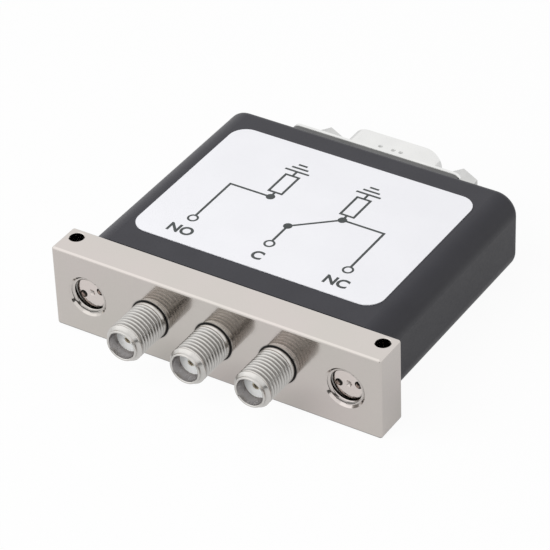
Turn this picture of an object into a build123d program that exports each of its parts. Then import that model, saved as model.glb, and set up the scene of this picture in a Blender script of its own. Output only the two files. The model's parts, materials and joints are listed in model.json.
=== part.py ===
from build123d import *

import os
from math import cos, radians, sin, tan

# Coaxial RF switch, one common port and two switched ports, each switched port with its own load.
# It lies with its label up: X runs along the head block, Y from the ports to the control connector.
# The origin is the middle of the mounting-hole pattern on the underside of the head block.
# Lengths are millimetres and angles are degrees.

# Fits shared by all pieces
seat_fit = 0.01
thread_fit = 0.02
running_fit = 0.04
side_play = 0.3

# Head block
block_height = 14.7
block_edge_break = 0.45
mount_hole_margin = 2.0
mount_hole_setback = 4.15
mount_hole_diameter = 2.4
mount_hole_chamfer = 0.12

# Port line: three jacks in the middle, a load behind a plug at each end
port_pitch = 11.5
plug_pitch = 11.7
plug_margin = 6.3
thread_diameter = 6.35
port_mouth_chamfer = 0.35
port_relief_width = 0.25
port_relief_depth = 0.6
seat_wall = 1.4
cavity_depth = 1.9
cavity_width = 4.0
bead_step = 0.235

# Coaxial jacks
jack_reach = 7.95
jack_mating_depth = 1.93
jack_lead = 0.5
jack_wall = 0.375
jack_pilot_length = 0.45
jack_neck_relief = 0.375
jack_neck_length = 0.05
seal_recess = 0.04
contact_diameter = 1.27
contact_socket_bore = 0.95
contact_socket_depth = 2.6
contact_slot_width = 0.18
contact_slot_length = 1.9
contact_head_diameter = 1.9
contact_head_height = 0.45

# Termination plugs, each with two spanner holes and a centre dimple
plug_recess = 1.3
plug_thickness = 1.6
plug_edge_break = 0.55
spanner_hole_diameter = 1.3
spanner_hole_margin = 1.45
spanner_hole_depth = 0.8
plug_dimple_diameter = 1.1
plug_dimple_depth = 0.3
plug_turns = (24, 11)

# Reeds and push rods
reed_width = 1.6
reed_thickness = 0.25
reed_end_gap = 0.3
reed_corner = 0.3
contact_gap = 0.04
rod_diameter = 1.6
rod_spigot_diameter = 0.8
rod_head_diameter = 3.4
rod_head_height = 0.9

# Cavity cover with its guide bushings and screws
cover_thickness = 2.4
cover_fit = 0.1
bushing_diameter = 2.8
bushing_flange_diameter = 3.8
bushing_flange_height = 0.5
screw_diameter = 1.6
screw_head_diameter = 2.6
screw_head_height = 0.9
screw_head_break = 0.2
cover_screw_inset = 0.2
cover_screw_edge = 2.75
cover_screw_grip = 3.2

# Return springs under the rod heads and under the lifted arm of each armature
spring_height = 2.2
spring_gap = 0.05
spring_outer_diameter = 3.0
spring_wire = 0.3
bias_spring_outer_diameter = 1.8
bias_spring_offset = 2.3

# Rocking armatures
rocker_tilt = 5.0
rocker_width = 5.0
rocker_thickness = 1.6
rocker_end = 1.3
rocker_hub_diameter = 3.2
nose_radius = 0.6
nose_drop = 0.3
press_gap = 0.05
pivot_pin_diameter = 1.5
pivot_pin_stand_out = 0.3

# Pivot brackets
bracket_room = 0.7
bracket_base = 0.9
bracket_ear = 0.9
bracket_shoulder = 1.0
bracket_screw_setback = 1.7
bracket_screw_spacing = 3.0
bracket_screw_grip = 2.0

# Magnet circuit
core_setback = 1.4
core_diameter = 3.6
pole_gap = 0.15
yoke_leg_offset = 1.6
yoke_leg_gap = 0.35
yoke_leg_grip = 2.6
yoke_thickness = 1.4
yoke_overhang = 3.2
bobbin_setback = 0.8
wiring_room = 8.1
bobbin_flange_diameter = 10.0
bobbin_flange_thickness = 0.9
bobbin_barrel_diameter = 4.8
coil_inset = 0.5
terminal_diameter = 0.6
terminal_inset = 1.0
terminal_stand_out = 0.6

# Drawn can
can_end_setback = 2.75
can_bottom = 0.3
can_top_drop = 0.1
can_length = 41.7
can_wall = 0.8
can_corner = 3.7
can_end_radius = 1.2

# Label
label_margin = 4.45
label_length = 32.4
label_setback = 4.5
label_corner = 3.0
label_thickness = 0.12

# Nine-way control connector
dsub_flange_height = 13.3
dsub_flange_corner = 1.3
dsub_sheet = 0.8
dsub_sheet_break = 0.15
dsub_wall = 0.4
dsub_root_radius = 0.6
dsub_height = 8.36
dsub_corner = 2.6
dsub_side_angle = 10
dsub_reach = 6.4
dsub_dimple_radius = 0.5
dsub_dimple_depth = 0.2
dsub_dimple_setback = 3.2
dsub_dimples = (-1.3, 1.1, 2.5)
dsub_body_inset = 0.6
dsub_body_depth = 6.0
dsub_skirt_depth = 4.0
dsub_face_height = 1.0
dsub_cutout_room = 0.25
dsub_screw_room = 4.035
dsub_screw_margin = 3.15
dsub_screw_hole = 3.1
dsub_pin_diameter = 1.0
dsub_pin_setback = 0.8
dsub_pin_tip = 0.3
dsub_pin_pitch = 2.77
dsub_pin_margin = 2.92
dsub_row_spacing = 2.84
dsub_tail_diameter = 0.7
dsub_tail_stand_out = 0.8
dsub_rows = (5, 4)

# Jackscrews
jackscrew_flats = 5.0
jackscrew_length = 6.05
jackscrew_thread = 2.84
jackscrew_socket_depth = 4.6
jackscrew_end_break = 0.35
jackscrew_stand_out = 0.6
washer_diameter = 5.3
washer_thickness = 0.6
nut_flats = 6.35
nut_height = 2.4

# Driver board
board_side_room = 2.45
board_edge_room = 0.55
board_thickness = 1.6
board_corner = 1.0
diode_margin = 4.5
diode_length = 4.6
diode_width = 2.6
diode_height = 2.2

# Places that follow from the sizes: the block is as long as its row of ports needs
plug_offset = port_pitch + plug_pitch
block_length = 2 * (plug_offset + plug_margin)
block_depth = plug_recess + plug_thickness + seat_wall + cavity_depth
mount_hole_spacing = block_length - 2 * mount_hole_margin
port_height = block_height / 2
port_x = (-plug_offset, -port_pitch, 0, port_pitch, plug_offset)
plug_x = (port_x[0], port_x[4])
jack_x = port_x[1:4]
rod_x = [(near + far) / 2 for near, far in zip(port_x, port_x[1:])]
pivot_x = ((rod_x[0] + rod_x[1]) / 2, (rod_x[2] + rod_x[3]) / 2)
rocker_arm = (rod_x[1] - rod_x[0]) / 2
thread_radius = thread_diameter / 2
pilot_radius = thread_radius - jack_lead
socket_radius = pilot_radius - jack_wall
line_radius = socket_radius - bead_step
contact_radius = contact_diameter / 2
contact_head_radius = contact_head_diameter / 2

front_y = -mount_hole_setback
back_y = front_y + block_depth
plug_face_y = front_y + plug_recess
port_seat_y = plug_face_y + plug_thickness
cavity_floor_y = port_seat_y + seat_wall
contact_face_y = cavity_floor_y + contact_head_height
jack_tip_y = front_y - jack_reach
jack_face_y = jack_tip_y + jack_mating_depth
cover_top_y = back_y + cover_thickness
spring_seat_y = cover_top_y + bushing_flange_height

# A pressed rod holds its reed on the contacts, a lifted one stands higher by the armature's swing
reed_y = contact_face_y + contact_gap
rod_head_y = spring_seat_y + spring_height + spring_gap
rod_top_y = rod_head_y + rod_head_height
rod_lift = rocker_arm * radians(2 * rocker_tilt)
rod_lifts = (0, rod_lift, 0, rod_lift)

# The pivot stands so that the lowered nose just clears the top of a pressed rod
tilt_sin = sin(radians(rocker_tilt))
tilt_cos = cos(radians(rocker_tilt))
nose_centre = rocker_thickness / 2 + nose_drop
pivot_y = rod_top_y + press_gap + nose_radius + nose_centre * tilt_cos + rocker_arm * tilt_sin
ear_inside = rocker_width / 2 + side_play
ear_outside = ear_inside + bracket_ear
bracket_top_y = cover_top_y + bracket_base
bracket_half_length = rocker_arm - rod_head_diameter / 2 - bracket_room

# The can stands behind the block, a little lower than its top and clear of the plane under it
can_width = block_length - 2 * can_end_setback
can_height = block_height - can_bottom - can_top_drop
can_middle = can_bottom + can_height / 2
can_top = can_bottom + can_height
can_rear_y = back_y + can_length
can_inner_rear_y = can_rear_y - can_wall
board_back_y = can_rear_y - dsub_body_depth
board_front_y = board_back_y - board_thickness

# The pole face clears the raised arm, the yoke's leg clears the other one, the coil fills the can
core_offset = rocker_arm - core_setback
core_reach = core_offset + core_diameter / 2
pole_y = pivot_y + core_reach * tilt_sin + rocker_thickness / 2 * tilt_cos + pole_gap
leg_reach = yoke_leg_offset + yoke_thickness
leg_y = pivot_y + leg_reach * tilt_sin + rocker_thickness / 2 * tilt_cos + yoke_leg_gap
ear_top_y = leg_y + yoke_leg_grip
bobbin_y = pole_y + bobbin_setback
strap_top_y = board_front_y - wiring_room
strap_y = strap_top_y - yoke_thickness
coil_diameter = bobbin_flange_diameter - 2 * coil_inset
terminal_spacing = bobbin_flange_diameter - 2 * terminal_inset

# The connector grows with its row of pins
dsub_width = (max(dsub_rows) - 1) * dsub_pin_pitch + 2 * dsub_pin_margin
dsub_screw_spacing = dsub_width + 2 * dsub_screw_room
dsub_flange_width = dsub_screw_spacing + 2 * dsub_screw_margin
flange_y = can_rear_y + dsub_sheet
flange_top_y = flange_y + dsub_sheet
dsub_rim_y = flange_top_y + dsub_reach
dsub_face_y = flange_top_y + dsub_face_height
jackscrew_y = flange_top_y + washer_thickness


def across(y, height=port_height):
    """Plane across the switch at one depth; it faces the ports, so a negative extrusion runs rearward."""
    return Plane((0, y, height), x_dir=(1, 0, 0), z_dir=(0, -1, 0))


def level(height, x=0, y=0, turn=0):
    """Plane that lies flat at one height, turned about the vertical."""
    along = (cos(radians(turn)), sin(radians(turn)), 0)
    return Plane((x, y, height), x_dir=along, z_dir=(0, 0, 1))


def in_line(places):
    """The places of a row of features on the port line."""
    return [(x, 0) for x in places]


def turn_profile(x, points, mode=Mode.ADD):
    """Turn a profile of (radius, depth) points about the line along Y at x, at port height."""
    with BuildSketch(level(port_height, x)) as profile:
        with BuildLine():
            Polyline(*points, close=True)
        make_face()
    revolve(profile.sketch, axis=Axis((x, 0, port_height), (0, 1, 0)), mode=mode)


def save(builder, name):
    """Label a finished piece and write it under its own name."""
    builder.part.label = name
    export_step(builder.part, f"parts/{name}.step")


def d_face(grow):
    """The connector's D outline, wide side up, grown all round by one distance."""
    lean = tan(radians(dsub_side_angle))
    side = grow / cos(radians(dsub_side_angle))
    top = dsub_height / 2 + grow
    wide = dsub_width / 2 + side + grow * lean
    narrow = dsub_width / 2 + side - (dsub_height + grow) * lean
    with BuildSketch() as outline:
        with BuildLine():
            Polyline((-wide, top), (wide, top), (narrow, -top), (-narrow, -top), close=True)
        make_face()
        fillet(outline.vertices(), radius=dsub_corner + grow)
    return outline.sketch


def pin_places():
    """Places of the connector's nine contacts, the longer row on the wide side."""
    places = []
    for row, count in enumerate(dsub_rows):
        z = dsub_row_spacing / 2 - row * dsub_row_spacing
        for index in range(count):
            places.append(((index - (count - 1) / 2) * dsub_pin_pitch, z))
    return places


def bracket_screw_places():
    """Places of the two screws under each armature."""
    row = bracket_screw_spacing / 2
    return Locations(*[(x - bracket_screw_setback, z) for x in pivot_x for z in (-row, row)])


def cover_screw_places():
    """Grid of the screws that hold the cavity cover to the head block."""
    spacing_x = plug_offset - cover_screw_inset
    spacing_z = block_height - 2 * cover_screw_edge
    return GridLocations(spacing_x, spacing_z, len(jack_x), 2)


def terminal_places():
    """Places of the two winding ends of each coil, above and below the core."""
    return [(x - core_offset, side * terminal_spacing / 2) for x in pivot_x for side in (-1, 1)]


def make_head_block():
    """Plated block with five threaded ports in front and the line cavity milled into its back."""
    with BuildPart() as block:
        with BuildSketch(across(front_y)):
            Rectangle(block_length, block_height)
        extrude(amount=-block_depth)
        fillet(block.edges(), radius=block_edge_break)
        with BuildSketch(across(front_y)):
            with Locations(*in_line(port_x)):
                Circle(thread_radius + thread_fit)
        extrude(amount=-(port_seat_y - front_y), mode=Mode.SUBTRACT)
        mouths = block.edges().filter_by(GeomType.CIRCLE).group_by(Axis.Y)[0].sort_by(Axis.X)
        chamfer([mouths[0], mouths[-1]], length=port_mouth_chamfer)
        with BuildSketch(across(front_y)):
            with Locations(*in_line(jack_x)):
                Circle(thread_radius + port_relief_width)
        extrude(amount=-port_relief_depth, mode=Mode.SUBTRACT)
        with BuildSketch(across(back_y)):
            SlotCenterToCenter(2 * plug_offset, cavity_width)
        extrude(amount=cavity_depth, mode=Mode.SUBTRACT)
        with BuildSketch(across(port_seat_y)):
            with Locations(*in_line(port_x)):
                Circle(line_radius + seat_fit)
        extrude(amount=-seat_wall, mode=Mode.SUBTRACT)
        with BuildSketch(across(back_y)):
            with cover_screw_places():
                Circle(screw_diameter / 2 + thread_fit)
        extrude(amount=cover_screw_grip, mode=Mode.SUBTRACT)
        with BuildSketch(level(0)):
            with GridLocations(mount_hole_spacing, 0, 2, 1):
                Circle(mount_hole_diameter / 2)
        extrude(amount=block_height, mode=Mode.SUBTRACT)
        rims = block.edges().filter_by(GeomType.CIRCLE)
        chamfer(rims.group_by(Axis.Z)[0] + rims.group_by(Axis.Z)[-1], length=mount_hole_chamfer)
    save(block, "rf_head_block")


def make_jack(name, x):
    """Threaded jack: shell, bead and centre contact, screwed into its port up to the seat."""
    neck = thread_radius - jack_neck_relief
    neck_y = front_y - jack_neck_length
    grip_y = front_y + port_relief_depth
    with BuildPart() as shell:
        turn_profile(x, [
            (socket_radius, jack_tip_y),
            (pilot_radius, jack_tip_y),
            (pilot_radius, jack_tip_y + jack_pilot_length),
            (thread_radius, jack_tip_y + jack_pilot_length + jack_lead),
            (thread_radius, neck_y),
            (neck, neck_y),
            (neck, grip_y),
            (thread_radius, grip_y),
            (thread_radius, port_seat_y),
            (line_radius, port_seat_y),
            (line_radius, jack_face_y),
            (socket_radius, jack_face_y),
        ])
    save(shell, f"jack_shell_{name}")

    bead_radius = line_radius - seat_fit
    with BuildPart() as bead:
        turn_profile(x, [
            (contact_radius + seat_fit, jack_face_y),
            (bead_radius, jack_face_y),
            (bead_radius, cavity_floor_y),
            (contact_radius + seat_fit, cavity_floor_y),
        ])
    save(bead, f"jack_bead_{name}")

    bore = contact_socket_bore / 2
    with BuildPart() as contact:
        turn_profile(x, [
            (bore, jack_face_y),
            (contact_radius, jack_face_y),
            (contact_radius, cavity_floor_y),
            (contact_head_radius, cavity_floor_y),
            (contact_head_radius, contact_face_y),
            (0, contact_face_y),
            (0, jack_face_y + contact_socket_depth),
            (bore, jack_face_y + contact_socket_depth),
        ])
        with BuildSketch(across(jack_face_y)):
            with Locations((x, 0)):
                Rectangle(contact_slot_width, contact_diameter)
                Rectangle(contact_diameter, contact_slot_width)
        extrude(amount=-contact_slot_length, mode=Mode.SUBTRACT)
    save(contact, f"jack_contact_{name}")


def make_jack_seals():
    """Black rings that seal the necks of the three jacks in their reliefs."""
    inner = thread_radius - jack_neck_relief + seat_fit
    outer = thread_radius + port_relief_width - seat_fit
    outer_y = front_y + seal_recess
    inner_y = front_y + port_relief_depth
    with BuildPart() as seals:
        for x in jack_x:
            turn_profile(x, [
                (inner, outer_y),
                (outer, outer_y),
                (outer, inner_y),
                (inner, inner_y),
            ])
    save(seals, "jack_seals")


def make_termination(name, x, turn):
    """Threaded plug with its spanner holes, and the load that it presses against the line cavity."""
    dimple = plug_dimple_diameter / 2
    with BuildPart() as plug:
        with BuildSketch(across(plug_face_y)):
            with Locations((x, 0)):
                Circle(thread_radius)
        extrude(amount=-(port_seat_y - plug_face_y))
        chamfer(plug.faces().sort_by(Axis.Y)[0].edges(), length=plug_edge_break)
        with BuildSketch(across(plug_face_y)):
            with Locations(Location((x, 0, 0), (0, 0, turn))):
                with GridLocations(thread_diameter - 2 * spanner_hole_margin, 0, 2, 1):
                    Circle(spanner_hole_diameter / 2)
        extrude(amount=-spanner_hole_depth, mode=Mode.SUBTRACT)
        turn_profile(x, [
            (0, plug_face_y),
            (dimple, plug_face_y),
            (0, plug_face_y + plug_dimple_depth),
        ], mode=Mode.SUBTRACT)
    save(plug, f"termination_plug_{name}")

    load_radius = line_radius - seat_fit
    with BuildPart() as load:
        turn_profile(x, [
            (0, port_seat_y),
            (load_radius, port_seat_y),
            (load_radius, cavity_floor_y),
            (contact_head_radius, cavity_floor_y),
            (contact_head_radius, contact_face_y),
            (0, contact_face_y),
        ])
    save(load, f"termination_load_{name}")


def make_cavity_cover():
    """Plate that closes the line cavity, guides the rods and carries the brackets."""
    inset = 2 * (can_wall + cover_fit)
    with BuildPart() as cover:
        with BuildSketch(across(back_y, can_middle)):
            RectangleRounded(can_width - inset, can_height - inset, can_corner - inset / 2)
        extrude(amount=-cover_thickness)
        with BuildSketch(across(back_y)):
            with Locations(*in_line(rod_x)):
                Circle(bushing_diameter / 2 + seat_fit)
            with cover_screw_places():
                Circle(screw_diameter / 2 + thread_fit)
        extrude(amount=-cover_thickness, mode=Mode.SUBTRACT)
        with BuildSketch(across(cover_top_y)):
            with bracket_screw_places():
                Circle(screw_diameter / 2 + thread_fit)
        extrude(amount=bracket_screw_grip, mode=Mode.SUBTRACT)
    save(cover, "cavity_cover")


def make_screws(name, places, seat_y, grip):
    """A set of alike round-head screws whose heads sit on one plane."""
    with BuildPart() as screws:
        with BuildSketch(across(seat_y)):
            with places():
                Circle(screw_head_diameter / 2)
        extrude(amount=-screw_head_height)
        rims = screws.faces().filter_by(Axis.Y).group_by(Axis.Y)[-1].edges()
        chamfer(rims, length=screw_head_break)
        with BuildSketch(across(seat_y)):
            with places():
                Circle(screw_diameter / 2)
        extrude(amount=grip)
    save(screws, name)


def make_rod_set(number, x, gap, lift):
    """Reed, push rod, guide bushing and return spring between two neighbouring ports."""
    with BuildPart() as reed:
        with BuildSketch(across(reed_y + lift)):
            with Locations((x, 0)):
                RectangleRounded(gap - reed_end_gap, reed_width, reed_corner)
                Circle(rod_spigot_diameter / 2 + seat_fit, mode=Mode.SUBTRACT)
        extrude(amount=-reed_thickness)
    save(reed, f"reed_{number}")

    spigot = rod_spigot_diameter / 2
    shank = rod_diameter / 2
    head = rod_head_diameter / 2
    with BuildPart() as rod:
        turn_profile(x, [
            (0, reed_y + lift),
            (spigot, reed_y + lift),
            (spigot, reed_y + reed_thickness + lift),
            (shank, reed_y + reed_thickness + lift),
            (shank, rod_head_y + lift),
            (head, rod_head_y + lift),
            (head, rod_top_y + lift),
            (0, rod_top_y + lift),
        ])
    save(rod, f"push_rod_{number}")

    guide = shank + running_fit
    flange = bushing_flange_diameter / 2
    body = bushing_diameter / 2
    with BuildPart() as bushing:
        turn_profile(x, [
            (guide, back_y),
            (body, back_y),
            (body, cover_top_y),
            (flange, cover_top_y),
            (flange, spring_seat_y),
            (guide, spring_seat_y),
        ])
    save(bushing, f"rod_bushing_{number}")

    coil = spring_outer_diameter / 2
    with BuildPart() as spring:
        turn_profile(x, [
            (coil - spring_wire, spring_seat_y),
            (coil, spring_seat_y),
            (coil, spring_seat_y + spring_height),
            (coil - spring_wire, spring_seat_y + spring_height),
        ])
    save(spring, f"return_spring_{number}")


def make_rocker(name, x):
    """Soft-iron armature that rocks on its pin and presses one of its two rods at a time."""
    half = rocker_arm + rocker_end
    with BuildPart() as rocker:
        with BuildSketch(level(port_height - rocker_width / 2, x, pivot_y, rocker_tilt)):
            Rectangle(2 * half, rocker_thickness)
            Circle(rocker_hub_diameter / 2)
            with GridLocations(2 * rocker_arm, 0, 2, 1):
                with Locations((0, -nose_centre / 2)):
                    Rectangle(2 * nose_radius, nose_centre)
                with Locations((0, -nose_centre)):
                    Circle(nose_radius)
            Circle(pivot_pin_diameter / 2 + running_fit, mode=Mode.SUBTRACT)
        extrude(amount=rocker_width)
    save(rocker, f"rocker_{name}")


def make_pivot_pins():
    """Pins pressed through the bracket ears, one for each armature."""
    half_pin = ear_outside + pivot_pin_stand_out
    with BuildPart() as pins:
        with BuildSketch(level(port_height - half_pin, 0, pivot_y)):
            with Locations(*in_line(pivot_x)):
                Circle(pivot_pin_diameter / 2)
        extrude(amount=2 * half_pin)
    save(pins, "pivot_pins")


def make_bracket(name, x):
    """Folded bracket whose two ears hold the pivot pin and grip the yoke's leg."""
    shoulder_y = pivot_y + rocker_hub_diameter / 2
    with BuildPart() as bracket:
        with BuildSketch(level(port_height - ear_outside, x)):
            with BuildLine():
                Polyline(
                    (-bracket_half_length, cover_top_y),
                    (bracket_half_length, cover_top_y),
                    (bracket_half_length, ear_top_y),
                    (bracket_shoulder, ear_top_y),
                    (bracket_shoulder, shoulder_y),
                    (-rocker_hub_diameter / 2, shoulder_y),
                    (-bracket_half_length, bracket_top_y),
                    close=True,
                )
            make_face()
        extrude(amount=2 * ear_outside)
        with BuildSketch(level(port_height - ear_inside, x)):
            with Locations((0, (bracket_top_y + ear_top_y) / 2)):
                Rectangle(2 * bracket_half_length, ear_top_y - bracket_top_y)
        extrude(amount=2 * ear_inside, mode=Mode.SUBTRACT)
        with BuildSketch(level(port_height - ear_outside, x, pivot_y)):
            Circle(pivot_pin_diameter / 2 + seat_fit)
        extrude(amount=2 * ear_outside, mode=Mode.SUBTRACT)
        with BuildSketch(across(cover_top_y)):
            with bracket_screw_places():
                Circle(screw_diameter / 2 + thread_fit)
        extrude(amount=-bracket_base, mode=Mode.SUBTRACT)
    save(bracket, f"pivot_bracket_{name}")


def make_bias_springs():
    """Springs under the free arms that swing both armatures back when the coils are off."""
    coil = bias_spring_outer_diameter / 2
    reach = bias_spring_offset + coil
    arm_y = pivot_y - reach * tilt_sin - rocker_thickness / 2 / tilt_cos
    with BuildPart() as springs:
        for x in pivot_x:
            turn_profile(x + bias_spring_offset, [
                (coil - spring_wire, bracket_top_y),
                (coil, bracket_top_y),
                (coil, arm_y - spring_gap),
                (coil - spring_wire, arm_y - spring_gap),
            ])
    save(springs, "bias_springs")


def make_magnet(name, x):
    """Bent yoke, core, bobbin and coil that pull one end of the armature rearward."""
    core_x = x - core_offset
    half_width = ear_inside - seat_fit
    leg_x = yoke_leg_offset
    back_x = yoke_leg_offset + yoke_thickness
    free_x = -core_offset - yoke_overhang
    with BuildPart() as yoke:
        with BuildSketch(level(port_height - half_width, x)):
            with BuildLine():
                Polyline(
                    (leg_x, leg_y),
                    (back_x, leg_y),
                    (back_x, strap_top_y),
                    (free_x, strap_top_y),
                    (free_x, strap_y),
                    (leg_x, strap_y),
                    close=True,
                )
            make_face()
        extrude(amount=2 * half_width)
        bend = yoke.edges().filter_by(Axis.Z).group_by(Axis.Y)[-1].sort_by(Axis.X)[-1]
        fillet(bend, radius=yoke_thickness)
        with BuildSketch(across(strap_y)):
            with Locations((core_x, 0)):
                Circle(core_diameter / 2 + seat_fit)
        extrude(amount=-yoke_thickness, mode=Mode.SUBTRACT)
    save(yoke, f"yoke_{name}")

    with BuildPart() as core:
        with BuildSketch(across(pole_y)):
            with Locations((core_x, 0)):
                Circle(core_diameter / 2)
        extrude(amount=-(strap_top_y - pole_y))
    save(core, f"core_{name}")

    bore = core_diameter / 2 + seat_fit
    barrel = bobbin_barrel_diameter / 2
    flange = bobbin_flange_diameter / 2
    near_y = bobbin_y + bobbin_flange_thickness
    far_y = strap_y - bobbin_flange_thickness
    with BuildPart() as bobbin:
        turn_profile(core_x, [
            (bore, bobbin_y),
            (flange, bobbin_y),
            (flange, near_y),
            (barrel, near_y),
            (barrel, far_y),
            (flange, far_y),
            (flange, strap_y),
            (bore, strap_y),
        ])
        with BuildSketch(across(far_y)):
            with Locations((core_x, 0)):
                with GridLocations(0, terminal_spacing, 1, 2):
                    Circle(terminal_diameter / 2 + seat_fit)
        extrude(amount=-bobbin_flange_thickness, mode=Mode.SUBTRACT)
    save(bobbin, f"bobbin_{name}")

    with BuildPart() as coil:
        turn_profile(core_x, [
            (barrel, near_y),
            (coil_diameter / 2, near_y),
            (coil_diameter / 2, far_y),
            (barrel, far_y),
        ])
    save(coil, f"coil_{name}")


def make_board():
    """Driver board on the connector's tails, with the coil terminals and suppression diodes."""
    board_width = can_width - 2 * (can_wall + board_side_room)
    board_height = can_height - 2 * (can_wall + board_edge_room)
    with BuildPart() as board:
        with BuildSketch(across(board_front_y)):
            RectangleRounded(board_width, board_height, board_corner)
            with Locations(*pin_places()):
                Circle(dsub_tail_diameter / 2 + seat_fit, mode=Mode.SUBTRACT)
            with Locations(*terminal_places()):
                Circle(terminal_diameter / 2 + seat_fit, mode=Mode.SUBTRACT)
        extrude(amount=-board_thickness)
    save(board, "driver_board")

    far_y = strap_y - bobbin_flange_thickness
    with BuildPart() as terminals:
        with BuildSketch(across(far_y)):
            with Locations(*terminal_places()):
                Circle(terminal_diameter / 2)
        extrude(amount=-(board_back_y + terminal_stand_out - far_y))
    save(terminals, "coil_terminals")

    with BuildPart() as diodes:
        with BuildSketch(across(board_front_y)):
            with GridLocations(board_width - 2 * diode_margin, 0, 2, 1):
                Rectangle(diode_width, diode_length)
        extrude(amount=diode_height)
    save(diodes, "suppression_diodes")


def add_flange(shell, y):
    """Flange of a connector shell, with broken edges and its two screw holes."""
    with BuildSketch(across(y)) as plate:
        RectangleRounded(dsub_flange_width, dsub_flange_height, dsub_flange_corner)
    extrude(plate.sketch, amount=-dsub_sheet)
    chamfer(shell.faces().filter_by(Axis.Y).edges(), length=dsub_sheet_break)
    with BuildSketch(across(y)) as holes:
        with GridLocations(dsub_screw_spacing, 0, 2, 1):
            Circle(dsub_screw_hole / 2)
    extrude(holes.sketch, amount=-dsub_sheet, mode=Mode.SUBTRACT)


def make_connector():
    """Nine-way D connector: two drawn shells, the front one dimpled, the body between them and its pins."""
    body_grow = -dsub_body_inset
    skirt_grow = body_grow + seat_fit + dsub_wall
    shell_top = port_height + dsub_height / 2 + dsub_wall
    dimple_z = shell_top + dsub_dimple_radius - dsub_dimple_depth
    with BuildPart() as front:
        add_flange(front, flange_y)
        with BuildSketch(across(flange_y)):
            add(d_face(dsub_wall))
        extrude(amount=-(dsub_rim_y - flange_y))
        seat = front.faces().filter_by(Axis.Y).filter_by_position(Axis.Y, flange_top_y, flange_top_y)
        root = seat[0].inner_wires().sort_by(SortBy.LENGTH)[-1]
        fillet(root.edges(), radius=dsub_root_radius)
        with BuildSketch(across(flange_y)):
            add(d_face(0))
        extrude(amount=-(dsub_rim_y - flange_y), mode=Mode.SUBTRACT)
        with Locations(*[(x, dsub_rim_y - dsub_dimple_setback, dimple_z) for x in dsub_dimples]):
            Sphere(dsub_dimple_radius, mode=Mode.SUBTRACT)
    save(front, "dsub_front_shell")

    with BuildPart() as rear:
        add_flange(rear, can_rear_y)
        with BuildSketch(across(can_rear_y)):
            add(d_face(skirt_grow))
        extrude(amount=dsub_skirt_depth)
        with BuildSketch(across(flange_y)):
            add(d_face(body_grow + seat_fit))
        extrude(amount=dsub_sheet + dsub_skirt_depth, mode=Mode.SUBTRACT)
    save(rear, "dsub_rear_shell")

    with BuildPart() as body:
        with BuildSketch(across(flange_y)):
            add(d_face(-seat_fit))
        extrude(amount=-(dsub_face_y - flange_y))
        with BuildSketch(across(flange_y)):
            add(d_face(body_grow))
        extrude(amount=flange_y - board_back_y)
        with BuildSketch(across(board_back_y)):
            with Locations(*pin_places()):
                Circle(dsub_pin_diameter / 2 + seat_fit)
        extrude(amount=-(dsub_face_y - board_back_y), mode=Mode.SUBTRACT)
    save(body, "dsub_body")

    with BuildPart() as pins:
        with BuildSketch(across(board_back_y)):
            with Locations(*pin_places()):
                Circle(dsub_pin_diameter / 2)
        extrude(amount=-(dsub_rim_y - dsub_pin_setback - board_back_y))
        tips = pins.faces().filter_by(Axis.Y).group_by(Axis.Y)[-1].edges()
        chamfer(tips, length=dsub_pin_tip)
        with BuildSketch(across(board_back_y)):
            with Locations(*pin_places()):
                Circle(dsub_tail_diameter / 2)
        extrude(amount=board_thickness + dsub_tail_stand_out)
    save(pins, "dsub_pins")


def draw_hexagon(flats):
    """Hexagons at both screw places of the connector, corners up and down."""
    with GridLocations(dsub_screw_spacing, 0, 2, 1):
        RegularPolygon(flats / 2, 6, major_radius=False, rotation=90)


def make_jackscrews():
    """Hexagonal jackscrews with their washers and nuts, one at each end of the connector."""
    stud_end_y = can_inner_rear_y - nut_height - jackscrew_stand_out
    with BuildPart() as screws:
        with BuildSketch(across(jackscrew_y)):
            draw_hexagon(jackscrew_flats)
        extrude(amount=-jackscrew_length)
        ends = screws.faces().filter_by(Axis.Y).group_by(Axis.Y)[-1].edges()
        chamfer(ends, length=jackscrew_end_break)
        with BuildSketch(across(jackscrew_y + jackscrew_length)):
            with GridLocations(dsub_screw_spacing, 0, 2, 1):
                Circle(jackscrew_thread / 2)
        extrude(amount=jackscrew_socket_depth, mode=Mode.SUBTRACT)
        with BuildSketch(across(jackscrew_y)):
            with GridLocations(dsub_screw_spacing, 0, 2, 1):
                Circle(jackscrew_thread / 2)
        extrude(amount=jackscrew_y - stud_end_y)
    save(screws, "jackscrews")

    with BuildPart() as washers:
        with BuildSketch(across(flange_top_y)):
            with GridLocations(dsub_screw_spacing, 0, 2, 1):
                Circle(washer_diameter / 2)
                Circle(jackscrew_thread / 2 + thread_fit, mode=Mode.SUBTRACT)
        extrude(amount=-washer_thickness)
    save(washers, "jackscrew_washers")

    with BuildPart() as nuts:
        with BuildSketch(across(can_inner_rear_y)):
            draw_hexagon(nut_flats)
            with GridLocations(dsub_screw_spacing, 0, 2, 1):
                Circle(jackscrew_thread / 2 + thread_fit, mode=Mode.SUBTRACT)
        extrude(amount=nut_height)
    save(nuts, "jackscrew_nuts")


def make_can():
    """Deep-drawn can, open towards the head block, cut out for the connector at its rear."""
    inset = 2 * can_wall
    cutout = dsub_cutout_room + seat_fit + dsub_wall - dsub_body_inset
    with BuildPart() as can:
        with BuildSketch(across(back_y, can_middle)):
            RectangleRounded(can_width, can_height, can_corner)
        extrude(amount=-can_length)
        fillet(can.faces().sort_by(Axis.Y)[-1].edges(), radius=can_end_radius)
        with BuildSketch(across(back_y, can_middle)):
            RectangleRounded(can_width - inset, can_height - inset, can_corner - can_wall)
        extrude(amount=-(can_length - can_wall), mode=Mode.SUBTRACT)
        with BuildSketch(across(can_rear_y)):
            add(d_face(cutout))
            with GridLocations(dsub_screw_spacing, 0, 2, 1):
                Circle(dsub_screw_hole / 2)
        extrude(amount=can_wall, mode=Mode.SUBTRACT)
    save(can, "can")


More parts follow.
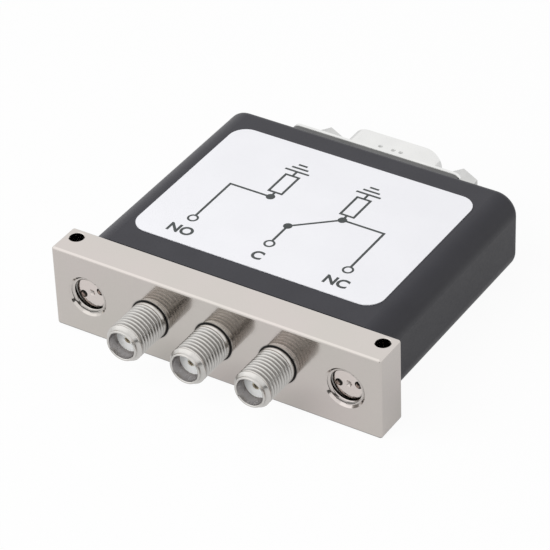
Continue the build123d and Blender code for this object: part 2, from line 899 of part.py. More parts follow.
def make_label():
    """Thin sticker on the flat top of the can."""
    label_width = can_width - 2 * label_margin
    middle_y = back_y + label_setback + label_length / 2
    with BuildPart() as label:
        with BuildSketch(level(can_top, 0, middle_y)):
            RectangleRounded(label_width, label_length, label_corner)
        extrude(amount=label_thickness)
    save(label, "label")


os.makedirs("parts", exist_ok=True)
make_head_block()
make_cavity_cover()
make_screws("cover_screws", cover_screw_places, cover_top_y, cover_thickness + cover_screw_grip)
make_screws("bracket_screws", bracket_screw_places, bracket_top_y, bracket_base + bracket_screw_grip)
make_pivot_pins()
make_bias_springs()
for jack_name, jack_place in zip(("left", "center", "right"), jack_x):
    make_jack(jack_name, jack_place)
make_jack_seals()
for rod_number, rod_place in enumerate(rod_x):
    port_gap = port_x[rod_number + 1] - port_x[rod_number]
    make_rod_set(rod_number + 1, rod_place, port_gap, rod_lifts[rod_number])
for side_index, side_name in enumerate(("left", "right")):
    make_termination(side_name, plug_x[side_index], plug_turns[side_index])
    make_rocker(side_name, pivot_x[side_index])
    make_bracket(side_name, pivot_x[side_index])
    make_magnet(side_name, pivot_x[side_index])
make_board()
make_connector()
make_jackscrews()
make_can()
make_label()
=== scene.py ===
import json
from math import ceil, cos, pi, radians, sin

import bmesh
import bpy
from mathutils import Matrix, Vector


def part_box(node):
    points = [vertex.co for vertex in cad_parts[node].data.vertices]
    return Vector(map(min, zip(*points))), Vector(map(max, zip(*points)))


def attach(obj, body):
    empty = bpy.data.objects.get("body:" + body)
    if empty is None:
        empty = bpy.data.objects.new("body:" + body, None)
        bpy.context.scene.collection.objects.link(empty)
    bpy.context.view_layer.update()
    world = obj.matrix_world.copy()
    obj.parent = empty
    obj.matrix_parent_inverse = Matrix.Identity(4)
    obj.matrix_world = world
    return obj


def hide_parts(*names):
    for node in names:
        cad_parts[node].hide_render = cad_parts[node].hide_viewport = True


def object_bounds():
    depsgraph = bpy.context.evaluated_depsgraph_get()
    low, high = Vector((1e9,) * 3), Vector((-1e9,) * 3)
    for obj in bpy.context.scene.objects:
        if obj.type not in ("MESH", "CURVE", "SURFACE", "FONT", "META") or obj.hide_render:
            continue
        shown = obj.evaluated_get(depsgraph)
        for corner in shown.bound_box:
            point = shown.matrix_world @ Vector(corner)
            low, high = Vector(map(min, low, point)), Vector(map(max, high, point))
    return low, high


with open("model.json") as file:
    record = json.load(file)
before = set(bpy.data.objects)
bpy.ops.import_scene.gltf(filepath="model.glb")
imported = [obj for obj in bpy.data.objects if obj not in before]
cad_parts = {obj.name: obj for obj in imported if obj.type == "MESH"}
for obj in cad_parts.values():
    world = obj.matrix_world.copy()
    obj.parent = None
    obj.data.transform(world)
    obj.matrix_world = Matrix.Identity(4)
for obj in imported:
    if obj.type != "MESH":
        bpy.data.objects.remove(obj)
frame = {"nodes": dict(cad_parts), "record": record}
cad_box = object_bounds()

# Looks of a coaxial RF switch: threads, printed label, finishes, studio and camera.
# Sizes are written in millimetres and turned into metres by MM, apart from the studio's, which are in
# metres; angles are degrees.
MM = 0.001
BODY = "base"
SHARP_ANGLE = 40

# Camera, as fitted to the edges of the object; its aim is counted from the foot of the block's front
VIEW_AZIMUTH = 33.21
VIEW_ELEVATION = 35.962
VIEW_ROLL = -2.237
VIEW_DISTANCE = 463.904
AIM_RIGHT = 9.176
AIM_UP = 16.041
FOCAL_PIXELS = 3029.755
IMAGE_PIXELS = 550
SENSOR_WIDTH = 36.0
CLIP_START = 10

# Threads: pitch and depth of the coaxial one and of the jackscrews, shape of a turn, fineness
JACK_PITCH = 0.7056
JACK_THREAD_DEPTH = 0.40
SCREW_PITCH = 0.635
SCREW_THREAD_DEPTH = 0.3
CREST_SHARE = 0.06
ROOT_SHARE = 0.40
THREAD_STEPS = 12
COLUMNS = 96

# Turned details of the jacks; their sockets have the second of two finishes, a darker steel that paints shade
# into the bore
JACK_RADIUS = 3.175
JACK_PILOT_RADIUS = 2.675
JACK_PILOT_LENGTH = 0.45
JACK_LEAD = 0.5
JACK_RUNOUT_TURNS = 2
JACK_SOCKET_RADIUS = 2.3
JACK_SOCKET_DEPTH = 1.93
JACK_LINE_RADIUS = 2.065
JACK_EDGE = 0.1
JACK_NECK_RADIUS = 2.8
JACK_NECK_LENGTH = 0.05
JACK_GRIP_DEPTH = 0.6
SHADED_SOCKET_INDEX = 1

# Threaded bores: the mouths of the two end ports and the ends of the jackscrews, with the angle from a
# corner of their hexagons to the middle of a flat
PORT_RADIUS = 3.19
PORT_MOUTH = 0.35
PORT_THREAD_LENGTH = 1.1
SCREW_BORE_RADIUS = 1.415
SCREW_BORE_DEPTH = 4.4
SCREW_MOUTH = 0.15
CORNER_TO_FLAT = 30

# Print on the label, placed from its front edge, a little to the left of the middle
PRINT_SHIFT = -0.42
PRINT_THICKNESS = 0.012
STROKE_THICKNESS = 0.009
PRINT_STROKE = 0.42
PRINT_RIM = 0.35
PORT_MARKS = ("NO", "C", "NC")
MARK_SIZE = 2.85
MARK_WEIGHT = 0.10
MARK_Y = 3.0
PORT_MARK_X = 14.1
TERMINAL_Y = 6.6
TERMINAL_RADIUS = 0.95
PIVOT_Y = 12.0
CONTACT_X = 6.6
CONTACT_Y = 17.5
DOT_RADIUS = 0.75
LOAD_LEAD = 1.4
LOAD_LENGTH = 5.2
LOAD_HALF_WIDTH = 1.2
EARTH_HALF_WIDTHS = (2.0, 1.3, 0.6)
EARTH_STEP = 0.95
CIRCLE_STEPS = 48

# Finishes: one for each slot, then the brighter plugs, a darker steel that paints shade into the sockets of
# the jacks, and the ink.
# The colour drifts between two shades, in patches counted per metre by the mottle. A grain, also counted
# per metre and drawn out by a stretch, sets the roughness within its range and a relief of some depth.
SURFACES = {
    "nickel_plate": dict(
        first=(0.635, 0.605, 0.565), second=(0.665, 0.61, 0.585), mottle=70,
        roughness=(0.09, 0.15), grain=900, stretch=(0.15, 1, 1), depth=0.0004, metallic=1),
    "stainless": dict(
        first=(0.63, 0.615, 0.59), second=(0.69, 0.67, 0.645), mottle=300,
        roughness=(0.18, 0.28), grain=2500, stretch=(1, 0.2, 1), depth=0.001, metallic=1),
    "ptfe": dict(
        first=(0.86, 0.87, 0.86), second=(0.90, 0.91, 0.90), mottle=400,
        roughness=(0.38, 0.50), grain=3000, depth=0.002),
    "gold_plate": dict(
        first=(0.80, 0.75, 0.63), second=(0.86, 0.81, 0.70), mottle=500,
        roughness=(0.62, 0.72), grain=3000, depth=0.001, metallic=1),
    "load_ceramic": dict(
        first=(0.80, 0.79, 0.75), second=(0.86, 0.85, 0.81), mottle=500,
        roughness=(0.45, 0.60), grain=3000, depth=0.002),
    "rod_plastic": dict(
        first=(0.72, 0.66, 0.50), second=(0.79, 0.73, 0.58), mottle=400,
        roughness=(0.38, 0.50), grain=2500, depth=0.002),
    "spring_steel": dict(
        first=(0.56, 0.56, 0.56), second=(0.64, 0.64, 0.63), mottle=500,
        roughness=(0.20, 0.32), grain=2500, stretch=(1, 0.2, 1), depth=0.001, metallic=1),
    "plain_steel": dict(
        first=(0.64, 0.64, 0.63), second=(0.69, 0.69, 0.68), mottle=300,
        roughness=(0.45, 0.55), grain=2000, stretch=(1, 0.2, 1), depth=0.001, metallic=1),
    "soft_iron": dict(
        first=(0.50, 0.49, 0.47), second=(0.58, 0.57, 0.55), mottle=200,
        roughness=(0.28, 0.42), grain=1500, stretch=(1, 1, 0.2), depth=0.002, metallic=1),
    "bobbin_nylon": dict(
        first=(0.76, 0.74, 0.66), second=(0.83, 0.81, 0.73), mottle=300,
        roughness=(0.38, 0.52), grain=2000, depth=0.002),
    "copper_wire": dict(
        first=(0.55, 0.24, 0.11), second=(0.72, 0.36, 0.18), mottle=400,
        roughness=(0.22, 0.36), grain=6000, stretch=(0.05, 1, 0.05), depth=0.02, metallic=1),
    "board_laminate": dict(
        first=(0.04, 0.22, 0.09), second=(0.06, 0.28, 0.13), mottle=300,
        roughness=(0.28, 0.40), grain=2500, depth=0.002),
    "diode_plastic": dict(
        first=(0.020, 0.020, 0.021), second=(0.035, 0.035, 0.036), mottle=500,
        roughness=(0.45, 0.60), grain=4000, depth=0.004),
    "tin_plate": dict(
        first=(0.80, 0.80, 0.79), second=(0.86, 0.86, 0.845), mottle=200,
        roughness=(0.14, 0.24), grain=1200, stretch=(0.2, 1, 1), depth=0.0006, metallic=1),
    "dark_plate": dict(
        first=(0.12, 0.12, 0.12), second=(0.16, 0.16, 0.16), mottle=200,
        roughness=(0.25, 0.35), grain=1200, stretch=(0.2, 1, 1), depth=0.0006, metallic=1),
    "seal_rubber": dict(
        first=(0.006, 0.006, 0.006), second=(0.010, 0.010, 0.010), mottle=500,
        roughness=(0.55, 0.70), grain=4000, depth=0.003),
    "connector_plastic": dict(
        first=(0.016, 0.016, 0.018), second=(0.030, 0.030, 0.033), mottle=400,
        roughness=(0.36, 0.48), grain=4000, depth=0.003),
    "can_paint": dict(
        first=(0.026, 0.0255, 0.0325), second=(0.032, 0.0315, 0.039), mottle=150,
        roughness=(0.32, 0.40), grain=2600, depth=0.003),
    "label_film": dict(
        first=(0.88, 0.88, 0.915), second=(0.905, 0.905, 0.94), mottle=120,
        roughness=(0.30, 0.38), grain=1800, depth=0.001),
    "plug_plate": dict(
        first=(0.75, 0.69, 0.655), second=(0.775, 0.70, 0.67), mottle=200,
        roughness=(0.09, 0.15), grain=900, stretch=(0.15, 1, 1), depth=0.0004, metallic=1),
    # Darker copy of the jack steel for the inside of the sockets: painted shade in the bores
    "shaded_socket_steel": dict(
        first=(0.42, 0.40, 0.40), second=(0.46, 0.44, 0.44), mottle=300,
        roughness=(0.25, 0.35), grain=2500, stretch=(1, 0.2, 1), depth=0.001, metallic=1),
    "label_ink": dict(
        first=(0.028, 0.034, 0.034), second=(0.045, 0.052, 0.052), mottle=400,
        roughness=(0.42, 0.55), grain=5000, depth=0.001),
}
EVEN = (1, 1, 1)
PAINT_SPECULAR = 0.3

# Noise: the middle of its values that is spread over a range, and its fineness
NOISE_RANGE = (0.3, 0.7)
NOISE_DETAIL = 3.0

# Painted shade in recesses, darker where walls stand close: how far it looks for walls, the open shares where
# it is full and gone, its shades
RECESS_SHADE_REACH = 0.5
RECESS_SHADE_RANGE = (0.70, 0.96)
RECESS_SHADE_SAMPLES = 8
PLATE_RECESS_SHADE = (0.10, 0.10, 0.095)
STEEL_RECESS_SHADE = (0.44, 0.43, 0.415)

# Floor: shares of white that the camera and polished faces see, and what polished faces lose of it
FLOOR_COLOR = (0.80, 0.80, 0.80)
FLOOR_ROUGHNESS = 0.8
FLOOR_SEEN_SHARE = 0.95
FLOOR_MIRRORED_SHARE = 0.6
FLOOR_MIRRORED_LOSS = 0.22
FLOOR_HALF_SIZE = 3
FLOOR_GAP = 0.00005

# Dark card beside the camera, soft surroundings and lamps
CARD_COLOR = (0.10, 0.10, 0.095)
CARD_ROUGHNESS = 0.9
CARD_LEFT = 0.1
CARD_RIGHT = 2.4
CARD_FOOT = 0.02
CARD_TOP = 0.24
CARD_Y = -0.75
WHITE = (1, 1, 1)
SOFT_STRENGTH = 0.42
LAMPS = {
    "key_lamp": dict(place=(-0.30, -0.42, 0.48), size=0.7, power=4.4, mirrored=False),
    "sky_lamp": dict(place=(-0.35, -0.15, 0.60), size=1.2, power=0.9, mirrored=True),
}


def link_object(name, data):
    """Object in the scene that shows some data."""
    thing = bpy.data.objects.new(name, data)
    bpy.context.scene.collection.objects.link(thing)
    return thing


def make_object(mesh, name, material):
    """Turn a mesh under construction into an object of one material."""
    data = bpy.data.meshes.new(name)
    mesh.to_mesh(data)
    mesh.free()
    data.materials.append(material)
    return link_object(name, data)


def finish_piece(mesh, name, material, slot, *nodes):
    """Turn a mesh under construction into a piece of the object that stands for the given nodes."""
    bmesh.ops.recalc_face_normals(mesh, faces=mesh.faces)
    piece = make_object(mesh, name, material)
    piece.data.shade_smooth()
    piece.data.set_sharp_from_angle(angle=radians(SHARP_ANGLE))
    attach(piece, BODY)
    if nodes:
        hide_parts(*nodes)
    return piece


def new_material(name):
    """Material with its node tree and the inputs of its main shader."""
    material = bpy.data.materials.new(name)
    material.use_nodes = True
    return material, material.node_tree, shader_inputs(material)


def shader_inputs(material):
    """Inputs of a material's main shader."""
    return material.node_tree.nodes["Principled BSDF"].inputs


def feed(tree, value, target):
    """Give an input a number or colour, or a link from another node."""
    if isinstance(value, bpy.types.NodeSocket):
        tree.links.new(value, target)
    elif isinstance(value, tuple):
        target.default_value = (*value, 1)
    else:
        target.default_value = value


def noise(tree, scale, stretch):
    """Noise over the object's own coordinates, in features per metre, drawn out by a stretch."""
    coordinates = tree.nodes.new("ShaderNodeTexCoord")
    mapping = tree.nodes.new("ShaderNodeMapping")
    texture = tree.nodes.new("ShaderNodeTexNoise")
    mapping.inputs["Scale"].default_value = stretch
    texture.inputs["Scale"].default_value = scale
    texture.inputs["Detail"].default_value = NOISE_DETAIL
    tree.links.new(coordinates.outputs["Object"], mapping.inputs["Vector"])
    tree.links.new(mapping.outputs["Vector"], texture.inputs["Vector"])
    return texture.outputs["Fac"]


def rescale(tree, source, source_range, target_range):
    """A value carried from one range to another, and kept inside it."""
    span = tree.nodes.new("ShaderNodeMapRange")
    for name, value in zip(("From Min", "From Max", "To Min", "To Max"), (*source_range, *target_range)):
        span.inputs[name].default_value = value
    tree.links.new(source, span.inputs["Value"])
    return span.outputs["Result"]


def mix_colors(tree, share, first, second):
    """Blend of two colours."""
    mix = tree.nodes.new("ShaderNodeMix")
    mix.data_type = "RGBA"
    feed(tree, first, mix.inputs["A"])
    feed(tree, second, mix.inputs["B"])
    feed(tree, share, mix.inputs["Factor"])
    return mix.outputs["Result"]


def calculate(tree, operation, *values):
    """Result of a math node that is fed with numbers and the outputs of other nodes."""
    node = tree.nodes.new("ShaderNodeMath")
    node.operation = operation
    for value, target in zip(values, node.inputs):
        feed(tree, value, target)
    return node.outputs["Value"]


def blend_shaders(tree, share, first, second, output):
    """Send a blend of two shaders to the surface of an output."""
    blend = tree.nodes.new("ShaderNodeMixShader")
    for value, target in zip((share, first, second), blend.inputs):
        tree.links.new(value, target)
    tree.links.new(blend.outputs["Shader"], output.inputs["Surface"])


def bump(tree, source, depth):
    """Relief of a noise, as deep as given in millimetres."""
    relief = tree.nodes.new("ShaderNodeBump")
    relief.inputs["Distance"].default_value = depth * MM
    tree.links.new(source, relief.inputs["Height"])
    return relief.outputs["Normal"]


def make_surface(name, first, second, mottle, roughness, grain, depth, stretch=EVEN, metallic=0):
    """Finish whose colour drifts between two shades and whose fine grain sets gloss and relief."""
    material, tree, inputs = new_material(name)
    patches = rescale(tree, noise(tree, mottle, EVEN), NOISE_RANGE, (0, 1))
    fine = noise(tree, grain, stretch)
    feed(tree, metallic, inputs["Metallic"])
    feed(tree, mix_colors(tree, patches, first, second), inputs["Base Color"])
    feed(tree, rescale(tree, fine, NOISE_RANGE, roughness), inputs["Roughness"])
    feed(tree, bump(tree, fine, depth), inputs["Normal"])
    return material


def paint_recess_shade(material, shade):
    """Paint shade into the seams, thread roots and punch marks of a finish, where its walls stand close."""
    tree = material.node_tree
    color = shader_inputs(material)["Base Color"]
    nearby = tree.nodes.new("ShaderNodeAmbientOcclusion")
    nearby.samples = RECESS_SHADE_SAMPLES
    nearby.inputs["Distance"].default_value = RECESS_SHADE_REACH * MM
    clear = rescale(tree, nearby.outputs["AO"], RECESS_SHADE_RANGE, (0, 1))
    feed(tree, mix_colors(tree, clear, shade, color.links[0].from_socket), color)


def make_finishes():
    """All finishes by name; the paint shines less than bare plastic, plating and steel get painted shade in
    their recesses.
    """
    made = {name: make_surface(name, **values) for name, values in SURFACES.items()}
    feed(made["can_paint"].node_tree, PAINT_SPECULAR, shader_inputs(made["can_paint"])["Specular IOR Level"])
    # Painted shade: plating and steel are darkened in their recesses by an ambient-occlusion mask
    for name in ("tin_plate", "nickel_plate", "plug_plate"):
        paint_recess_shade(made[name], PLATE_RECESS_SHADE)
    paint_recess_shade(made["stainless"], STEEL_RECESS_SHADE)
    return made


def dress_nodes():
    """Give every node of the frame the finish of its slot, and the plugs their own."""
    for subpart in frame["record"]["subparts"]:
        name = subpart["node"]
        finish = "plug_plate" if name.startswith("termination_plug") else subpart["material_slot"]
        materials = frame["nodes"][name].data.materials
        materials.clear()
        materials.append(finishes[finish])


def axis_of(node):
    """The line along Y through the middle of a turned node."""
    low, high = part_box(node)
    return (low + high) / 2


def around(axis, radius, column, y):
    """Place at one column of a ring about a line along Y."""
    angle = 2 * pi * column / COLUMNS
    return (axis.x + radius * cos(angle), y, axis.z + radius * sin(angle))


def ring(mesh, axis, radius, y):
    """A ring of points about a line along Y."""
    return [mesh.verts.new(around(axis, radius, column, y)) for column in range(COLUMNS)]


def bridge(mesh, first, second, finish_index=0):
    """Faces between two rings, in one of the piece's finishes."""
    for column in range(COLUMNS):
        after = (column + 1) % COLUMNS
        face = mesh.faces.new((first[column], first[after], second[after], second[column]))
        face.material_index = finish_index


def bridge_all(mesh, rings):
    """Faces between each ring and the next."""
    for first, second in zip(rings, rings[1:]):
        bridge(mesh, first, second)


def smooth_step(value):
    """Eased share between 0 and 1."""
    value = min(1, max(0, value))
    return value * value * (3 - 2 * value)


def thread_depth(phase):
    """Share of the thread's depth at a phase of one turn: flat crest, straight flanks, flat root."""
    from_crest = min(phase, 1 - phase)
    return min(1, max(0, (from_crest - CREST_SHARE) / (ROOT_SHARE - CREST_SHARE)))


def wind_thread(mesh, axis, first, last, start_y, end_y, pitch, radius_at):
    """Helical faces between two rings; radius_at gives the radius at a place and a thread depth share."""
    turns = ceil((end_y - start_y) / pitch) + 1
    made = {}

    def point(row, column):
        y = start_y + pitch * (row / THREAD_STEPS + column / COLUMNS - 1)
        if y <= start_y:
            return first[column]
        if y >= end_y:
            return last[column]
        if (row, column) not in made:
            radius = radius_at(y, thread_depth(row % THREAD_STEPS / THREAD_STEPS))
            made[row, column] = mesh.verts.new(around(axis, radius, column, y))
        return made[row, column]

    for row in range(THREAD_STEPS * turns):
        for column in range(COLUMNS):
            wraps = column + 1 == COLUMNS
            after = 0 if wraps else column + 1
            lift = THREAD_STEPS if wraps else 0
            corners = (
                point(row, column),
                point(row + 1, column),
                point(row + 1 + lift, after),
                point(row + lift, after),
            )
            distinct = list(dict.fromkeys(corners))
            if len(distinct) > 2:
                mesh.faces.new(distinct)


def make_jack(name):
    """Jack shell with a real thread from its lead-in to the neck that dips into the block."""
    node = f"jack_shell_{name}"
    axis = axis_of(node)
    low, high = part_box(node)
    front_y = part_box("rf_head_block")[0].y
    tip_y = low.y
    start_y = tip_y + JACK_PILOT_LENGTH * MM
    neck_y = front_y - JACK_NECK_LENGTH * MM
    grip_y = front_y + JACK_GRIP_DEPTH * MM
    face_y = tip_y + JACK_SOCKET_DEPTH * MM
    edge_y = tip_y + JACK_EDGE * MM
    end_y = neck_y - JACK_EDGE * MM
    pitch = JACK_PITCH * MM
    mesh = bmesh.new()

    def radius_at(y, depth):
        lead = JACK_PILOT_RADIUS * MM + (y - start_y)
        fade_in = smooth_step((y - start_y - JACK_LEAD * MM) / pitch)
        fade_out = smooth_step((end_y - y) / pitch / JACK_RUNOUT_TURNS)
        return min(lead, JACK_RADIUS * MM - JACK_THREAD_DEPTH * MM * depth * fade_in * fade_out)

    def turned(*places):
        return [ring(mesh, axis, radius * MM, y) for radius, y in places]

    outside = turned(
        (JACK_SOCKET_RADIUS + JACK_EDGE, tip_y),
        (JACK_PILOT_RADIUS - JACK_EDGE, tip_y),
        (JACK_PILOT_RADIUS, edge_y),
        (JACK_PILOT_RADIUS, start_y),
    )
    base = turned(
        (JACK_RADIUS, end_y),
        (JACK_RADIUS - JACK_EDGE, neck_y),
        (JACK_NECK_RADIUS, neck_y),
        (JACK_NECK_RADIUS, grip_y),
        (JACK_RADIUS, grip_y),
        (JACK_RADIUS, high.y),
        (JACK_LINE_RADIUS, high.y),
        (JACK_LINE_RADIUS, face_y),
        (JACK_SOCKET_RADIUS, face_y),
    )
    mouth = ring(mesh, axis, JACK_SOCKET_RADIUS * MM, edge_y)
    bridge_all(mesh, outside)
    wind_thread(mesh, axis, outside[-1], base[0], start_y, end_y, pitch, radius_at)
    bridge_all(mesh, base)
    # The socket's inner wall gets the darker steel, which paints shade into the bore
    bridge(mesh, base[-1], mouth, SHADED_SOCKET_INDEX)
    bridge(mesh, mouth, outside[0])
    jack = finish_piece(mesh, f"threaded_jack_{name}", finishes["stainless"], "stainless", node)
    jack.data.materials.append(finishes["shaded_socket_steel"])


def make_bore_thread(name, axis, start_y, end_y, radius, pitch, depth, slot):
    """Thread turns on the wall of a bore, as a ring with a smooth outside."""
    mesh = bmesh.new()
    first = ring(mesh, axis, radius, start_y)
    last = ring(mesh, axis, radius - depth, end_y)
    foot = ring(mesh, axis, radius, end_y)
    wind_thread(mesh, axis, first, last, start_y, end_y, pitch, lambda y, share: radius - depth * (1 - share))
    bridge_all(mesh, [last, foot, first])
    finish_piece(mesh, name, finishes[slot], slot)


def make_port_thread(name):
    """Thread turns that show in the mouth of an end port, in front of its plug."""
    start_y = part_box("rf_head_block")[0].y + PORT_MOUTH * MM
    sizes = (PORT_RADIUS * MM, JACK_PITCH * MM, JACK_THREAD_DEPTH * MM)
    end_y = start_y + PORT_THREAD_LENGTH * MM
    axis = axis_of(f"termination_plug_{name}")
    make_bore_thread(f"port_thread_{name}", axis, start_y, end_y, *sizes, "nickel_plate")


def make_screw_thread(name, side):
    """Thread in the open end of a jackscrew, on one side of the connector."""
    low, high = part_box("jackscrews")
    inset = (high.z - low.z) * cos(radians(CORNER_TO_FLAT)) / 2
    axis = Vector((high.x - inset if side > 0 else low.x + inset, 0, (low.z + high.z) / 2))
    end_y = high.y - SCREW_MOUTH * MM
    start_y = high.y - SCREW_BORE_DEPTH * MM
    sizes = (SCREW_BORE_RADIUS * MM, SCREW_PITCH * MM, SCREW_THREAD_DEPTH * MM)
    make_bore_thread(f"jackscrew_thread_{name}", axis, start_y, end_y, *sizes, "plain_steel")


def print_start():
    """Where the print on the label is counted from."""
    low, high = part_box("label")
    return Vector(((low.x + high.x) / 2 + PRINT_SHIFT * MM, low.y, high.z))


def rim(mesh, outline, height):
    """Points over an outline on the label."""
    start = print_start()
    return [mesh.verts.new(start + Vector((x, y, height)) * MM) for x, y in outline]


def add_walls(mesh, foot, top):
    """Faces between two rims with as many points."""
    for index in range(len(foot)):
        after = (index + 1) % len(foot)
        mesh.faces.new((foot[index], foot[after], top[after], top[index]))


def add_slab(mesh, outline, thickness):
    """Thin slab of ink over an outline."""
    foot = rim(mesh, outline, 0)
    top = rim(mesh, outline, thickness)
    mesh.faces.new(foot)
    mesh.faces.new(top)
    add_walls(mesh, foot, top)


def add_frame(mesh, outside, inside):
    """Thin frame of ink between two outlines with as many points."""
    outer_foot, outer_top = (rim(mesh, outside, height) for height in (0, PRINT_THICKNESS))
    inner_foot, inner_top = (rim(mesh, inside, height) for height in (0, PRINT_THICKNESS))
    add_walls(mesh, outer_foot, outer_top)
    add_walls(mesh, inner_foot, inner_top)
    add_walls(mesh, outer_foot, inner_foot)
    add_walls(mesh, outer_top, inner_top)


def add_stroke(mesh, *points):
    """Ink stroke along a line of points, with mitred corners and cut ends."""
    places = [Vector(point) for point in points]
    across = []
    for start, end in zip(places, places[1:]):
        along = (end - start).normalized()
        across.append(Vector((-along.y, along.x)))
    left = []
    right = []
    for place, before, after in zip(places, [across[0], *across], [*across, across[-1]]):
        offset = (before + after) / (1 + before.dot(after)) * PRINT_STROKE / 2
        left.append(place + offset)
        right.append(place - offset)
    add_slab(mesh, [*left, *reversed(right)], STROKE_THICKNESS)


def circle(x, y, radius):
    """Outline of a circle."""
    turns = [2 * pi * step / CIRCLE_STEPS for step in range(CIRCLE_STEPS)]
    return [(x + radius * cos(turn), y + radius * sin(turn)) for turn in turns]


def rectangle(x, y, half_width, half_height):
    """Outline of a rectangle about a place."""
    left, right = x - half_width, x + half_width
    front, back = y - half_height, y + half_height
    return [(left, front), (right, front), (right, back), (left, back)]


def add_dot(mesh, x, y):
    """Filled dot of ink that covers the ends of strokes."""
    add_slab(mesh, circle(x, y, DOT_RADIUS), PRINT_THICKNESS)


def add_loop(mesh, x, y):
    """Open circle of ink that marks a terminal."""
    add_frame(mesh, circle(x, y, TERMINAL_RADIUS), circle(x, y, TERMINAL_RADIUS - PRINT_RIM))


def add_load(mesh, x, y):
    """Resistor sign that runs up from a contact to an earth sign."""
    half = PRINT_STROKE / 2
    foot = y + LOAD_LEAD
    top = foot + LOAD_LENGTH
    earth = top + LOAD_LEAD
    sizes = (LOAD_HALF_WIDTH, LOAD_LENGTH / 2)
    middle = (foot + top) / 2
    outside = rectangle(x, middle, *(size + half for size in sizes))
    inside = rectangle(x, middle, *(size - half for size in sizes))
    add_stroke(mesh, (x, y), (x, foot - half))
    add_frame(mesh, outside, inside)
    add_stroke(mesh, (x, top + half), (x, earth - half))
    for row, half_width in enumerate(EARTH_HALF_WIDTHS):
        add_slab(mesh, rectangle(x, earth + row * EARTH_STEP, half_width + half, half), STROKE_THICKNESS)


def print_label():
    """Plain wiring sign of the switch: two switched ports with loads, one common port."""
    mesh = bmesh.new()
    start_y = TERMINAL_Y + TERMINAL_RADIUS - PRINT_RIM / 2
    for side in (-1, 1):
        contact = (side * CONTACT_X, CONTACT_Y)
        port_x = side * PORT_MARK_X
        add_stroke(mesh, (port_x, start_y), (port_x, CONTACT_Y), contact)
        add_dot(mesh, *contact)
        add_load(mesh, *contact)
        add_loop(mesh, port_x, TERMINAL_Y)
    add_loop(mesh, 0, TERMINAL_Y)
    add_stroke(mesh, (0, start_y), (0, PIVOT_Y), (CONTACT_X, CONTACT_Y))
    add_dot(mesh, 0, PIVOT_Y)
    finish_piece(mesh, "label_print", finishes["label_ink"], "label_film")


def print_mark(mark, x):
    """Plain mark of a port on the label: normally open, common or normally closed."""
    text = bpy.data.curves.new(f"mark_{mark}", "FONT")
    text.body = mark
    text.align_x = "CENTER"
    text.align_y = "CENTER"
    text.size = MARK_SIZE * MM
    text.offset = MARK_WEIGHT * MM
    text.extrude = PRINT_THICKNESS / 2 * MM
    pattern = bpy.data.objects.new(f"mark_{mark}", text)
    mesh = bmesh.new()
    mesh.from_mesh(bpy.data.meshes.new_from_object(pattern))
    place = print_start() + Vector((x, MARK_Y, PRINT_THICKNESS / 2)) * MM
    bmesh.ops.translate(mesh, vec=place, verts=mesh.verts)
    finish_piece(mesh, f"label_mark_{mark}", finishes["label_ink"], "label_film")


def make_floor():
    """Pale floor that looks white to the camera, lit up in polished faces, and keeps a soft shadow."""
    material, tree, inputs = new_material("pale_floor")
    feed(tree, FLOOR_COLOR, inputs["Base Color"])
    feed(tree, FLOOR_ROUGHNESS, inputs["Roughness"])
    path = tree.nodes.new("ShaderNodeLightPath").outputs
    seen = calculate(tree, "MAXIMUM", path["Is Camera Ray"], path["Is Transmission Ray"])
    share = calculate(tree, "MULTIPLY", seen, FLOOR_SEEN_SHARE)
    share = calculate(tree, "MULTIPLY_ADD", path["Is Glossy Ray"], FLOOR_MIRRORED_SHARE, share)
    strength = calculate(tree, "MULTIPLY_ADD", path["Is Glossy Ray"], -FLOOR_MIRRORED_LOSS, 1)
    white = tree.nodes.new("ShaderNodeEmission")
    feed(tree, strength, white.inputs["Strength"])
    plain = tree.nodes["Principled BSDF"].outputs["BSDF"]
    blend_shaders(tree, share, plain, white.outputs["Emission"], tree.nodes["Material Output"])
    mesh = bmesh.new()
    bmesh.ops.create_grid(mesh, x_segments=1, y_segments=1, size=FLOOR_HALF_SIZE)
    floor = make_object(mesh, "floor", material)
    floor.location.z = cad_box[0].z - FLOOR_GAP


def make_flag():
    """Dark studio card beside the camera, seen only as a reflection in polished faces."""
    material, tree, inputs = new_material("dark_card")
    feed(tree, CARD_COLOR, inputs["Base Color"])
    feed(tree, CARD_ROUGHNESS, inputs["Roughness"])
    mesh = bmesh.new()
    outline = (
        (CARD_LEFT, CARD_FOOT),
        (CARD_RIGHT, CARD_FOOT),
        (CARD_RIGHT, CARD_TOP),
        (CARD_LEFT, CARD_TOP),
    )
    mesh.faces.new([mesh.verts.new((x, CARD_Y, z)) for x, z in outline])
    flag = make_object(mesh, "flag", material)
    flag.visible_camera = False
    flag.visible_diffuse = False
    flag.visible_shadow = False


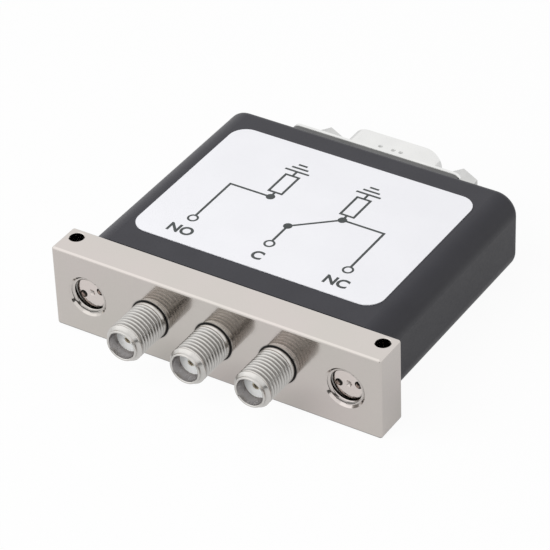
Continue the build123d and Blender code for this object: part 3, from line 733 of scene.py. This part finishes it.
def light_world():
    """White surroundings for the camera and for mirrored rays, softer light for the rest."""
    world = bpy.data.worlds.new("studio")
    bpy.context.scene.world = world
    world.use_nodes = True
    tree = world.node_tree
    soft = tree.nodes["Background"]
    white = tree.nodes.new("ShaderNodeBackground")
    for background, strength in ((soft, SOFT_STRENGTH), (white, 1)):
        feed(tree, WHITE, background.inputs["Color"])
        feed(tree, strength, background.inputs["Strength"])
    path = tree.nodes.new("ShaderNodeLightPath").outputs
    share = calculate(tree, "MAXIMUM", path["Is Camera Ray"], path["Is Glossy Ray"])
    share = calculate(tree, "MAXIMUM", share, path["Is Transmission Ray"])
    shaders = [background.outputs["Background"] for background in (soft, white)]
    blend_shaders(tree, share, *shaders, tree.nodes["World Output"])


def add_lamp(name, place, size, power, mirrored):
    """Large soft lamp that faces the middle of the object and may show in polished faces."""
    data = bpy.data.lights.new(name, "AREA")
    data.shape = "DISK"
    data.size = size
    data.energy = power
    lamp = link_object(name, data)
    lamp.location = place
    aim = (cad_box[0] + cad_box[1]) / 2 - Vector(place)
    lamp.rotation_mode = "QUATERNION"
    lamp.rotation_quaternion = aim.to_track_quat("-Z", "Y")
    lamp.visible_glossy = mirrored


def add_camera():
    """Camera at the photograph's viewing angle."""
    azimuth, elevation, roll = (radians(a) for a in (VIEW_AZIMUTH, VIEW_ELEVATION, VIEW_ROLL))
    back = Vector((sin(azimuth) * cos(elevation), -cos(azimuth) * cos(elevation), sin(elevation)))
    level = Vector((cos(azimuth), sin(azimuth), 0))
    upright = back.cross(level)
    right = cos(roll) * level + sin(roll) * upright
    up = cos(roll) * upright - sin(roll) * level
    foot = Vector((0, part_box("rf_head_block")[0].y, 0))
    place = foot + (back * VIEW_DISTANCE + right * AIM_RIGHT + up * AIM_UP) * MM
    data = bpy.data.cameras.new("camera")
    data.sensor_fit = "HORIZONTAL"
    data.sensor_width = SENSOR_WIDTH
    data.lens = FOCAL_PIXELS * SENSOR_WIDTH / IMAGE_PIXELS
    data.clip_start = CLIP_START * MM
    camera = link_object("camera", data)
    axes = Matrix((right, up, back)).transposed().to_4x4()
    camera.matrix_world = Matrix.Translation(place) @ axes
    bpy.context.scene.camera = camera


finishes = make_finishes()
dress_nodes()
for jack_name in ("left", "center", "right"):
    make_jack(jack_name)
for side_name, screw_side in (("left", -1), ("right", 1)):
    make_port_thread(side_name)
    make_screw_thread(side_name, screw_side)
print_label()
for port_mark, mark_x in zip(PORT_MARKS, (-PORT_MARK_X, 0, PORT_MARK_X)):
    print_mark(port_mark, mark_x)
make_floor()
light_world()
make_flag()
for lamp_name, lamp_values in LAMPS.items():
    add_lamp(lamp_name, **lamp_values)
add_camera()
bpy.context.scene.view_settings.view_transform = "Standard"
